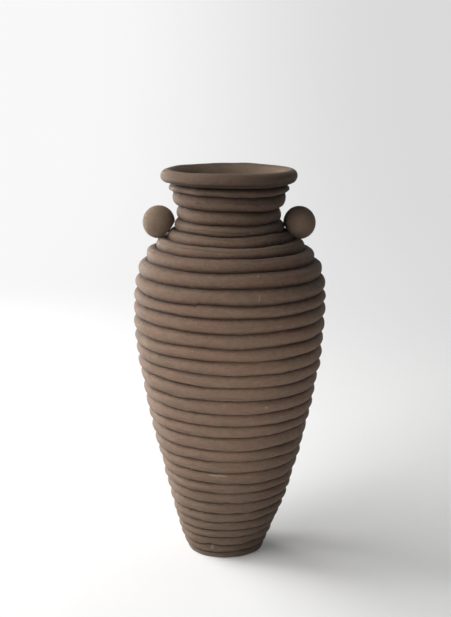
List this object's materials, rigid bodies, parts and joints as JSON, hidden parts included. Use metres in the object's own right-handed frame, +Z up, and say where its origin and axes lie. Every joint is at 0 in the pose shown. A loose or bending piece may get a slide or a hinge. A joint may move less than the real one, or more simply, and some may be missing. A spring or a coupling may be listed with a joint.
{
  "type": "amphora",
  "caption": "Tall coil-built clay amphora: narrow foot, full shoulder, short flared neck with a rolled rim, and a ball lug on each side of the neck.",
  "frame": {"origin": "centre of the foot, on the surface that the amphora stands on", "axes": "+Z up along the axis of the vessel; the two ball lugs lie on +X and -X; -Y is the front"},
  "size_m": [0.195, 0.1949, 0.3983],
  "materials": {
    "fired_clay": "matt, unglazed, fine sandy grain"
  },
  "bodies": {
    "root": {"base_slab": "fired_clay", "coil_01": "fired_clay", "coil_02": "fired_clay", "coil_03": "fired_clay", "coil_04": "fired_clay", "coil_05": "fired_clay", "coil_06": "fired_clay", "coil_07": "fired_clay", "coil_08": "fired_clay", "coil_09": "fired_clay", "coil_10": "fired_clay", "coil_11": "fired_clay", "coil_12": "fired_clay", "coil_13": "fired_clay", "coil_14": "fired_clay", "coil_15": "fired_clay", "coil_16": "fired_clay", "coil_17": "fired_clay", "coil_18": "fired_clay", "coil_19": "fired_clay", "coil_20": "fired_clay", "coil_21": "fired_clay", "coil_22": "fired_clay", "coil_23": "fired_clay", "coil_24": "fired_clay", "coil_25": "fired_clay", "coil_26": "fired_clay", "coil_27": "fired_clay", "coil_28": "fired_clay", "coil_29": "fired_clay", "coil_30": "fired_clay", "coil_31": "fired_clay", "rim_coil": "fired_clay", "left_ball_lug": "fired_clay", "right_ball_lug": "fired_clay"}
  },
  "joints": []
}
